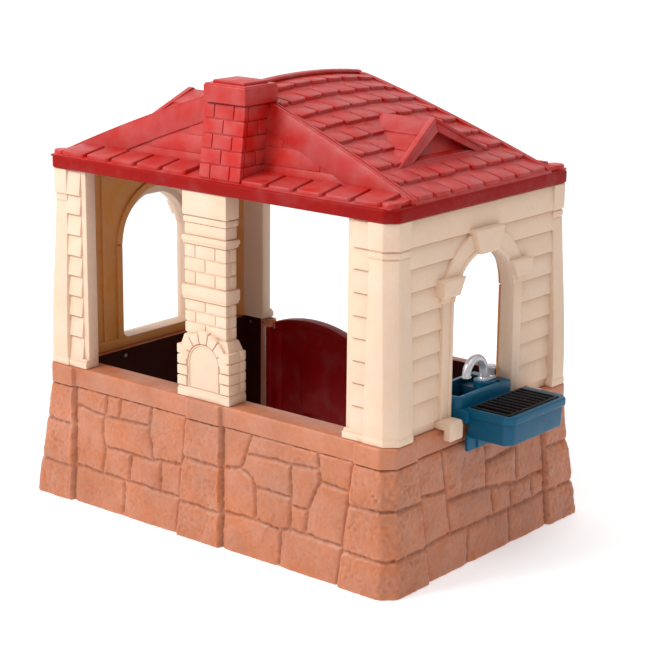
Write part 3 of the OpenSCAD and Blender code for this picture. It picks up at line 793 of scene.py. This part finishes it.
def roof_core():
    """The hollow gabled shell under the shingles, with its fascia"""
    shell, attic = bmesh.new(), bmesh.new()
    foot = FASCIA_TOP - 0.006
    inset, wall = 0.005, 0.017
    stations = [i / 14 - 1 for i in range(29)]
    loops = []
    for x in [EAVE * station for station in stations]:
        top = slope_z(x, UNDER_SHINGLES)
        across = np.linspace(gable_y(1, top, inset), gable_y(-1, top, inset), 11)
        loops.append([(x, gable_y(-1, foot, inset), foot), (x, gable_y(1, foot, inset), foot),
                      *[(x, y, slope_z(x, UNDER_SHINGLES, y)) for y in across]])
    add_solid(shell, loops, 0.002)
    loops = []
    for x in [0.53 * station for station in stations]:
        top = slope_z(x, 0.016)
        loops.append([(x, gable_y(-1, foot, wall), foot - 0.02), (x, gable_y(1, foot, wall), foot - 0.02),
                      (x, gable_y(1, top, wall), top), (x, gable_y(-1, top, wall), top)])
    add_solid(attic, loops, 0)
    bm = carve(shell, attic)
    fascia = bmesh.new()
    prism_z(fascia, chamfered(0.599, 0.394, 0.029), WALL_TOP, FASCIA_TOP, 0.006, 4)
    hole = bmesh.new()
    block(hole, (-0.544, -0.300, 0.9), (0.544, 0.300, 1.0), 0)
    merge(bm, carve(fascia, hole))
    for end in (-1, 1):
        section = [(end * 0.389, FASCIA_TOP - 0.004), (end * 0.389, FASCIA_TOP + 0.0015),
                   (end * 0.297, FASCIA_TOP + 0.0165), (end * 0.297, FASCIA_TOP - 0.004)]
        prism_x(bm, section, -0.583, 0.583, 0.002)
    return bm


def shingle(bm, x_top, x_low, y0, y1, lift):
    """One shingle that lies along the slope, thick at its lower edge"""
    side = 1 if x_low > 0 else -1
    a, b = abs(x_top), abs(x_low)
    middle = (a + b) / 2
    corner = min(0.005, (y1 - y0) / 4)
    loops = []
    for x, raise_by, inset in ((a, -0.0025, 0), (middle, 0.0028 + lift * 0.5, 0),
                              (b - 0.006, 0.0080 + lift, 0), (b, 0.0078 + lift, corner)):
        low, high = 0.0105, UNDER_SHINGLES - raise_by
        ends = y0 + inset, y1 - inset
        loops.append([(side * x, ends[0], slope_z(x, low, ends[0])),
                      (side * x, ends[1], slope_z(x, low, ends[1])),
                      (side * x, ends[1], slope_z(x, high, ends[1])),
                      (side * x, ends[0], slope_z(x, high, ends[0]))])
    add_solid(bm, loops, 0.0020)


def dormer_half_at(x):
    """Half the width of the dormer's own roof where it meets the slope, at a distance out"""
    if x < 0.23 or x > 0.466:
        return 0.0
    return 0.200 * np.clip((1.124 - slope_z(x)) / (1.118 - slope_z(0.465)), 0, 1)


def shingles(bm):
    """Staggered courses on both slopes, left out where a dormer stands"""
    butts = [0.066, 0.131, 0.197, 0.263, 0.329, 0.395, 0.460, 0.526, 0.590]
    rng = np.random.default_rng(11)
    for side in (-1, 1):
        top = 0.012
        for row, low in enumerate(butts):
            z = slope_z(low)
            start, end = gable_y(-1, z) + 0.018, gable_y(1, z) - 0.018
            count = 7 if row < 4 else 8
            pitch = (end - start) / count
            offset = 0.5 * (row % 2)
            for i in range(count + row % 2):
                y0 = max(start + (i - offset) * pitch, start)
                y1 = min(start + (i - offset + 1) * pitch, end)
                middle = (y0 + y1) / 2
                reach = (y1 - y0) / 2
                lift = rng.uniform(-0.0006, 0.0012)
                shift = rng.uniform(-0.004, 0.003)
                blocked = dormer_half_at(low - 0.02) - 0.012
                if abs(middle) < blocked - reach * 0.5:
                    continue
                shingle(bm, side * (top - 0.004), side * min(low + shift, 0.591), y0 + 0.0026, y1 - 0.0026,
                        lift)
            top = low


def rake(bm, end):
    """Gable boards, the wide curved board under the slope and the trims along its edge"""
    for side in (-1, 1):
        wide, trim, outer = [], [], []
        for i in range(21):
            x = side * 0.590 * i / 20
            top = slope_z(x, 0.004)
            low = max(top - 0.062 - 0.016 * i / 20, FASCIA_TOP - 0.002)
            low = min(low, top - 0.004)
            wide.append([(x, gable_y(end, top), top), (x, gable_y(end, top, 0.012), top),
                         (x, gable_y(end, low, 0.012), low), (x, gable_y(end, low), low)])
            for store, inset, width, rise in ((trim, 0.0, 0.0085, 0.0035), (outer, 0.011, 0.0065, 0.0045)):
                near, far = gable_y(end, top, inset), gable_y(end, top, inset + width)
                high, root = top + rise, top - 0.006
                store.append([(x, near, high), (x, far, high), (x, far, root), (x, near, root)])
        add_solid(bm, wide, 0.0022)
        add_solid(bm, trim, 0.0018)
        add_solid(bm, outer, 0.0015)


def gable_siding(bm, end):
    """Lapped boards low on a gable, under the curved boards"""
    lines = (FASCIA_TOP, 1.006, 1.052, 1.098, 1.144)
    for low, high in zip(lines, lines[1:]):
        wide = math.sqrt(max(PITCH ** 2 + 4 * BULGE * (RIDGE - 0.045 - high), 0)) - PITCH
        reach = min(wide / (2 * BULGE), 0.57)
        spans = [(-reach, reach)] if end > 0 else [(-reach, CHIMNEY_X - 0.06), (CHIMNEY_X + 0.06, reach)]
        section = [(gable_y(end, low, 0.0032), low + 0.001), (gable_y(end, low, 0.014), low + 0.001),
                   (gable_y(end, high, 0.014), high), (gable_y(end, high, 0.0046), high)]
        for x0, x1 in spans:
            if x1 - x0 >= 0.02:
                prism_x(bm, section, x0, x1, 0.0013)


def skirt_tabs(bm, end):
    """Thick rounded tabs side by side on the low skirt in front of and behind the gables"""
    def row(start, pitch, count):
        gap = 0.0042
        return [(start + i * pitch + gap, start + (i + 1) * pitch - gap) for i in range(count)]

    near, far = 0.383, 0.300
    rise_near, rise_far = FASCIA_TOP + 0.0125, FASCIA_TOP + 0.0265
    cut = 0.007
    draft = 0.0015

    def height(y):
        return rise_near + (rise_far - rise_near) * (near - abs(y)) / (near - far)

    for x0, x1 in row(-0.552, 0.0942, 5) + row(0.100, 0.0910, 5) if end < 0 else row(-0.5385, 0.0979, 11):
        low = [(x0 + cut, end * near), (x1 - cut, end * near), (x1, end * (near - cut)), (x1, end * far),
               (x0, end * far), (x0, end * (near - cut))]
        top = [(x + (draft if x < (x0 + x1) / 2 else -draft), y, height(y)) for x, y in low]
        add_solid(bm, [[(x, y, FASCIA_TOP - 0.004) for x, y in low], top], 0.0036, 3)


def dormer(bm, side):
    """A small gabled dormer that leans back, with thick edge boards and a sunk triangular panel"""
    foot = slope_z(0.465) - 0.006
    apex = 1.1225
    half = 0.194
    lean = 0.036
    ridge_end, valley_end = 0.212, 0.440

    def face(z, back=0.0):
        return side * (0.464 - lean * (z - foot) / (apex - foot) - back)

    def slab(outline, near, far, edge):
        add_solid(bm, [[(face(z, depth), y, z) for y, z in outline] for depth in (near, far)], edge)

    body = [(-half + 0.012, foot), (half - 0.012, foot), (0, apex - 0.009)]
    back = [(side * 0.240, y * 0.10, slope_z(0.240) - 0.006 if z < 1.1 else apex - 0.014) for y, z in body]
    add_solid(bm, [[(face(z, 0.020), y, z) for y, z in body], back], 0.001)
    for end in (-1, 1):
        loops = []
        for y, z, start in ((0.0, apex - 0.002, ridge_end), (half, foot, valley_end)):
            loops.append([(face(z, 0.012), end * y, z), (side * start, end * y, z),
                          (side * start, end * y, z - 0.010), (face(z, 0.012), end * y, z - 0.010)])
        add_solid(bm, loops, 0.0015)
        for step in range(3):
            # Three laps of shingle on the dormer's own roof
            low, high = 0.97 - 0.31 * step, 0.97 - 0.31 * (step + 1)
            lap = []
            for share, rise in ((low, 0.0042), (high, 0.0004)):
                y, z = half * share, foot + (apex - 0.002 - foot) * (1 - share)
                start = ridge_end + (valley_end - ridge_end) * share + 0.012
                lap.append([(face(z, 0.016), end * y, z + rise), (side * start, end * y, z + rise),
                            (side * start, end * y, z - 0.006), (face(z, 0.016), end * y, z - 0.006)])
            add_solid(bm, lap, 0.0015)
        board = [(0.0, apex - 0.004), (end * (half - 0.004), foot), (end * (half - 0.050), foot),
                 (0.0, apex - 0.033)]
        slab(board, 0.0, 0.022, 0.0022)
        rim = [(0.0, apex + 0.003), (end * (half + 0.003), foot + 0.001),
               (end * (half - 0.016), foot + 0.001), (0.0, apex - 0.0085)]
        slab(rim, -0.003, 0.015, 0.002)
    sill = [(-half + 0.030, foot), (half - 0.030, foot), (half - 0.042, foot + 0.0075),
            (-half + 0.042, foot + 0.0075)]
    slab(sill, 0.004, 0.024, 0.002)


def roof():
    """The roof with its shingles, gables, dormers, ridge and screw wells"""
    bm = roof_core()
    shingles(bm)
    for end in (-1, 1):
        rake(bm, end)
        gable_siding(bm, end)
        skirt_tabs(bm, end)
    for side in (-1, 1):
        dormer(bm, side)
    cap = []
    for y in np.linspace(gable_y(-1, RIDGE) - 0.0005, gable_y(1, RIDGE) + 0.0005, 10):
        rises = [(-0.015, -0.002), (-0.012, 0.0028), (0, 0.0036), (0.012, 0.0028), (0.015, -0.002)]
        cap.append([(x, y, slope_z(x, -rise, y)) for x, rise in rises] + [(0, y, RIDGE - 0.03)])
    add_solid(bm, cap, 0.0012)
    well = [(0.0235, -0.002), (0.0230, 0.0110), (0.0210, 0.0135), (0.0180, 0.0135), (0.0165, 0.0105),
            (0.0155, 0.0006)]
    for centre in itertools.product(*SCREW_WELLS):
        lathe(bm, centre, [(radius, FASCIA_TOP + rise) for radius, rise in well], 36)
    made = piece("roof", bm, [roof_red, fascia_red], ["roof_shell"])
    for face in made.data.polygons:
        face.material_index = int(face.center.z < FASCIA_TOP + 0.001)
    return made


roof()


def chimney():
    """The brick chimney with its stepped cap"""
    bm = bmesh.new()
    foot, top = FASCIA_TOP - 0.001, 1.160

    def front(z):
        return -0.3815 + 0.024 * (z - FASCIA_TOP) / (top - FASCIA_TOP)

    loops = [[(-half, front(z), z), (half, front(z), z), (half, -0.255, z), (-half, -0.255, z)]
             for z, half in ((foot, 0.0665), (top, 0.0655))]
    add_solid(bm, loops, 0.002)
    brick_rows(bm, FASCIA_TOP + 0.004, top - 0.002, 5, 0.0665, front, 0.105, first=1)
    # The cap and the steps on it
    block(bm, (-0.064, -0.372, top), (0.079, -0.245, 1.2055), 0.004, 3)
    block(bm, (-0.061, -0.369, 1.203), (0.076, -0.248, 1.2085), 0.002)
    block(bm, (-0.046, -0.356, 1.2065), (0.062, -0.262, 1.2165), 0.0035, 3)
    block(bm, (-0.030, -0.340, 1.2140), (0.046, -0.278, 1.2168), 0.001)
    bmesh.ops.translate(bm, vec=(CHIMNEY_X, 0, 0), verts=bm.verts)
    return piece("chimney_stack", bm, [roof_red], ["chimney"])


chimney()


# ---- half door ----

def half_door():
    """The arched half door, framed and panelled on both faces"""
    hinge, middle_y, half = -0.452, 0.3835, 0.0172
    left, right, foot = hinge, -0.105, 0.034
    centre, radius = -0.289, 0.417
    arch_z = 0.393 - radius

    def top_z(x, lower=0.0):
        return arch_z + math.sqrt((radius - lower) ** 2 - (x - centre) ** 2)

    notch = arc(-0.294, 0.070, 0.022, 180, 0, 14)
    outline = [(left, foot), (-0.316, foot), *notch, (-0.272, foot), (right, foot)]
    outline += [(x, top_z(x)) for x in np.linspace(right, -0.426, 24)]
    outline += [(-0.426, 0.3447), (left, 0.3447)]
    bm = bmesh.new()
    prism_y(bm, outline, middle_y - half + 0.003, middle_y + half - 0.003, 0.002)
    knuckle = [(half, foot), (half, foot + 0.001), (half, 0.3437), (half - 0.001, 0.3447)]
    lathe(bm, (hinge, middle_y), knuckle)
    for side in (-1, 1):
        face = middle_y + side * half
        deep = middle_y + side * (half - 0.008)
        near, far = sorted((deep, face))
        # Raised frame along the top, the free edge and the foot of the door
        band = [(x, top_z(x)) for x in np.linspace(right, -0.424, 24)]
        band += [(x, top_z(x, 0.026)) for x in np.linspace(-0.424, right, 24)]
        prism_y(bm, band, deep, face, 0.0025)
        for x0, x1, top in ((right - 0.028, right, top_z(right) - 0.004), (-0.424, -0.396, 0.3440),
                            (-0.424, -0.320, foot + 0.030), (-0.268, right, foot + 0.030)):
            block(bm, (x0, near, foot), (x1, far, top), 0.0025)
        panel = [(-0.199, 0.105), *arc(-0.261, 0.248, 0.062, 0, 180, 24), (-0.323, 0.105)]
        prism_y(bm, panel, deep, middle_y + side * (half - 0.0005), 0.004, 3)
        inset = [(-0.209, 0.115), *arc(-0.261, 0.248, 0.052, 0, 180, 24), (-0.313, 0.115)]
        prism_y(bm, inset, deep, middle_y + side * half, 0.002)
        rim = arc(-0.294, 0.070, 0.030, 180, 0, 14) + arc(-0.294, 0.070, 0.0222, 0, 180, 14)
        prism_y(bm, rim, deep, face, 0.0015)
    for z in np.linspace(0.06, 0.32, 6):
        lathe(bm, (hinge, middle_y), [(half, z - 0.0030), (half + 0.0002, z - 0.0015),
                                      (half + 0.0002, z + 0.0015), (half, z + 0.0030)])
    return piece("door_leaf", bm, [door_red], ["half_door"], body="door")


half_door()


# ---- sink and grill ----

def grill_plan(inner, outer, half, cut, tail=0.0):
    """Plan of the grill box with its two outer corners cut off"""
    middle = 0.028
    end = middle + half + tail
    return [(inner, middle - half), (outer - cut, middle - half), (outer, middle - half + cut),
            (outer, end - cut), (outer - cut, end), (inner, end)]


def sink_grill():
    """The moulding that hangs over the wall, with the sink inside and the grill box outside"""
    wall = 0.618
    lip = 0.415
    box_part = bmesh.new()
    low = [(x, y, 0.335) for x, y in grill_plan(wall, 0.749, 0.1195, 0.018, 0.018)]
    high = [(x, y, lip - 0.020) for x, y in grill_plan(wall, 0.751, 0.121, 0.018, 0.018)]
    add_solid(box_part, [low, high], 0.006, 4)
    rim_part = bmesh.new()
    prism_z(rim_part, grill_plan(wall, 0.7575, 0.1268, 0.021, 0.018), lip - 0.023, lip, 0.0055, 4)
    wells = [bmesh.new(), bmesh.new()]
    for well in wells:
        prism_z(well, grill_plan(wall + 0.004, 0.744, 0.115, 0.002), lip - 0.0148, lip + 0.03, 0)
    bm = carve(box_part, wells[0])
    merge(bm, carve(rim_part, wells[1]))
    block(bm, (wall, -0.099, 0.301), (wall + 0.010, 0.155, 0.345), 0.003)
    for y in (-0.062, 0.106):
        block(bm, (wall, y, 0.303), (wall + 0.016, y + 0.012, 0.345), 0.003)
    block(bm, (0.540, -0.1075, RIM + 0.0005), (wall + 0.010, 0.1255, lip - 0.0065), 0.004)
    sink = bmesh.new()
    plan = [(0.484, -0.092), (0.500, -0.108), (0.588, -0.108), (0.604, -0.092), (0.604, 0.126),
            (0.484, 0.126)]
    prism_z(sink, plan, RIM + 0.0005, 0.440, 0.005, 3)
    basin = bmesh.new()
    around = arc(0.552, 0.080, 0.0305, 0, 360, 40)[:-1]
    deep = [(0.502, -0.086), (0.507, -0.091), (0.583, -0.091), (0.588, -0.086), (0.588, 0.034),
            (0.502, 0.034)]
    wide = [(0.498, -0.089), (0.503, -0.094), (0.586, -0.094), (0.591, -0.089), (0.591, 0.044),
            (0.498, 0.044)]
    add_solid(basin, [[(x, y, RIM + 0.010) for x, y in deep], [(x, y, 0.445) for x, y in wide]], 0)
    tray = bmesh.new()
    prism_z(tray, [(0.498, 0.030), (0.591, 0.030), (0.591, 0.096), (0.498, 0.096)], 0.424, 0.46, 0)
    merge(bm, carve(sink, basin, tray))
    deck = bmesh.new()
    add_solid(deck, [[(x, y, z) for x, y in around] for z in (RIM + 0.008, 0.4398)], 0.003, 3)
    bearing = bmesh.new()
    lathe(bearing, (0.552, 0.072), [(0.0061, 0.424), (0.0061, 0.46)], 24)
    handle_bearing = bmesh.new()
    lathe(handle_bearing, (0.552, 0.105), [(0.0041, 0.424), (0.0041, 0.46)], 24)
    merge(bm, carve(deck, bearing, handle_bearing))
    lathe(bm, (0.545, -0.030), [(0.014, RIM + 0.009), (0.014, RIM + 0.012), (0.011, RIM + 0.0125),
                                (0.009, RIM + 0.0105)], 28)
    return piece("sink_and_grill", bm, [teal], ["sink_grill_unit"])


sink_grill()


def grate():
    """The grill grate: a frame, a tray and nine bars"""
    bm = bmesh.new()
    x0, x1, y0, y1 = 0.6232, 0.7418, -0.0848, 0.1408
    low, high = 0.4002, 0.418
    bars = [((x0, y0), (x1, y0 + 0.008)), ((x0, y1 - 0.008), (x1, y1)), ((x0, y0), (x0 + 0.008, y1)),
            ((x1 - 0.008, y0), (x1, y1))]
    for a, b in bars:
        block(bm, (*a, low), (*b, high), 0.0015)
    block(bm, (x0 + 0.006, y0 + 0.006, low), (x1 - 0.006, y1 - 0.006, low + 0.003), 0.001)
    pitch = (y1 - y0 - 0.012) / 10
    for i in range(1, 10):
        y = y0 + 0.002 + pitch * i
        block(bm, (x0 + 0.006, y, low + 0.003), (x1 - 0.006, y + 0.0085, high + 0.0018), 0.0025, 3)
    return piece("grill_bars", bm, [grate_black], ["grill_grate"])


grate()


def faucet():
    """The faucet's plate, its swivelling spout and its knob"""
    x, y, deck = 0.552, 0.072, 0.440
    plate = bmesh.new()
    reach = 0.033
    outline = arc(0, 0, 0.0148, 180, 360, 16) + arc(0, reach, 0.0148, 0, 180, 16)
    add_solid(plate, [[(x + px, y + py, z) for px, py in outline] for z in (deck + 0.0002, deck + 0.003)],
              0.0008)
    piece("faucet_plate", plate, [silver], ["faucet_base"])
    spout = bmesh.new()
    rise, bend, radius = 0.027, 0.039, 0.0118
    path = [(x, y, deck - 0.014), (x, y, deck + 0.0030), (x, y, deck + 0.0033), (x, y, deck + 0.006),
            (x, y, deck + 0.0075), (x, y, deck + 0.009)]
    radii = [0.0058, 0.0058, 0.0138, 0.0138, 0.0130, radius]
    for i in range(25):
        a = math.pi * i / 24
        path.append((x, y - bend + bend * math.cos(a), deck + rise + bend * math.sin(a)))
        radii.append(radius)
    end_y = y - 2 * bend
    for z, r in ((0.0265, radius), (0.0262, 0.0133), (0.0228, 0.0133), (0.0222, 0.0122)):
        path.append((x, end_y, deck + z))
        radii.append(r)
    tube(spout, path, radii)
    piece("faucet_neck", spout, [silver], ["faucet_spout"], body="spout")
    handle = bmesh.new()
    hy = y + reach
    profile = [(0.0038, -0.014), (0.0038, 0.0030), (0.0125, 0.0033), (0.0125, 0.006), (0.0105, 0.008),
               (0.0105, 0.021), (0.0128, 0.024), (0.0128, 0.032), (0.0115, 0.035), (0.006, 0.036)]
    lathe(handle, (x, hy), [(r, deck + z) for r, z in profile])
    for i in range(12):
        a = 2 * math.pi * i / 12
        bx, by = x + 0.0122 * math.cos(a), hy + 0.0122 * math.sin(a)
        block(handle, (bx - 0.0012, by - 0.0012, deck + 0.0245), (bx + 0.0012, by + 0.0012, deck + 0.0315),
              0.0005)
    piece("faucet_knob", handle, [silver], ["faucet_handle"], body="handle")


faucet()

# CAD nodes that stay in view: the hinge brackets in stone plastic, the pins and screws in steel
SCREWS = ("lower_wall", "upper_wall", "roof", "fireplace", "sink", "chimney", "hinge_bracket")
KEPT = {f"{side}_hinge_bracket": stone for side in ("upper", "lower")}
KEPT.update({f"{side}_hinge_pin": steel for side in ("upper", "lower")})
KEPT.update({f"{group}_screws": steel for group in SCREWS})
for node, material in KEPT.items():
    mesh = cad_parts[node].data
    mesh.materials.clear()
    mesh.materials.append(material)


# ---- floor, light and camera ----

def studio():
    """A pale floor, a soft sky that is darker on the grill side, and two lamps"""
    floor_mesh = bpy.data.meshes.new("floor")
    reach = 60.0
    floor_mesh.from_pydata([(-reach, -reach, 0), (reach, -reach, 0), (reach, reach, 0), (-reach, reach, 0)],
                           [], [(0, 1, 2, 3)])
    floor = bpy.data.objects.new("floor", floor_mesh)
    bpy.context.scene.collection.objects.link(floor)
    pale = bpy.data.materials.new("pale floor")
    pale.use_nodes = True
    shader = pale.node_tree.nodes["Principled BSDF"]
    shader.inputs["Base Color"].default_value = (0.90, 0.90, 0.91, 1)
    shader.inputs["Roughness"].default_value = 0.7
    shader.inputs["Specular IOR Level"].default_value = 0.2
    shader.inputs["Emission Color"].default_value = (1, 1, 1, 1)
    shader.inputs["Emission Strength"].default_value = 0.30
    floor_mesh.materials.append(pale)
    world = bpy.data.worlds.new("studio")
    world.use_nodes = True
    sky = world.node_tree
    sky.nodes["Background"].inputs["Color"].default_value = (1, 1, 1, 1)
    place = sky.nodes.new("ShaderNodeTexCoord")
    facing = sky.nodes.new("ShaderNodeVectorMath")
    facing.operation = "DOT_PRODUCT"
    facing.inputs[1].default_value = (-0.80, 0.10, 0.60)
    level = sky.nodes.new("ShaderNodeMapRange")
    for key, number in (("From Min", -0.7), ("From Max", 0.7), ("To Min", 0.30), ("To Max", 1.0)):
        level.inputs[key].default_value = number
    sky.links.new(place.outputs["Generated"], facing.inputs[0])
    sky.links.new(facing.outputs["Value"], level.inputs["Value"])
    sky.links.new(level.outputs["Result"], sky.nodes["Background"].inputs["Strength"])
    bpy.context.scene.world = world

    def lamp(name, azimuth, elevation, distance, size, power):
        light = bpy.data.lights.new(name, "AREA")
        light.shape = "DISK"
        light.size = size
        light.energy = power
        made = bpy.data.objects.new(name, light)
        bpy.context.scene.collection.objects.link(made)
        a, e = math.radians(azimuth), math.radians(elevation)
        aim = Vector((0, 0, 0.5))
        made.location = aim + distance * Vector((math.sin(a) * math.cos(e), -math.cos(a) * math.cos(e),
                                                 math.sin(e)))
        made.rotation_euler = (aim - made.location).to_track_quat("-Z", "Y").to_euler()

    lamp("key", -24, 42, 4.5, 1.7, 108)
    lamp("fill", 60, 68, 5.0, 2.6, 42)


def camera():
    """The main camera, in front of the corner between the chimney side and the grill end"""
    azimuth, elevation, distance = math.radians(39.2727), math.radians(14.7743), 5.1406
    target = Vector((0.0201, 0, 0.5189))
    data = bpy.data.cameras.new("camera")
    data.sensor_width = 36
    data.lens = 104.18
    made = bpy.data.objects.new("camera", data)
    bpy.context.scene.collection.objects.link(made)
    made.location = target + distance * Vector((math.cos(elevation) * math.sin(azimuth),
                                                -math.cos(elevation) * math.cos(azimuth),
                                                math.sin(elevation)))
    look = (target - made.location).to_track_quat("-Z", "Y").to_matrix().to_4x4()
    roll = Matrix.Rotation(math.radians(0.5682), 4, "Z")
    made.matrix_world = Matrix.Translation(made.location) @ look @ roll
    bpy.context.scene.camera = made


studio()
camera()
bpy.context.scene.view_settings.view_transform = "Standard"
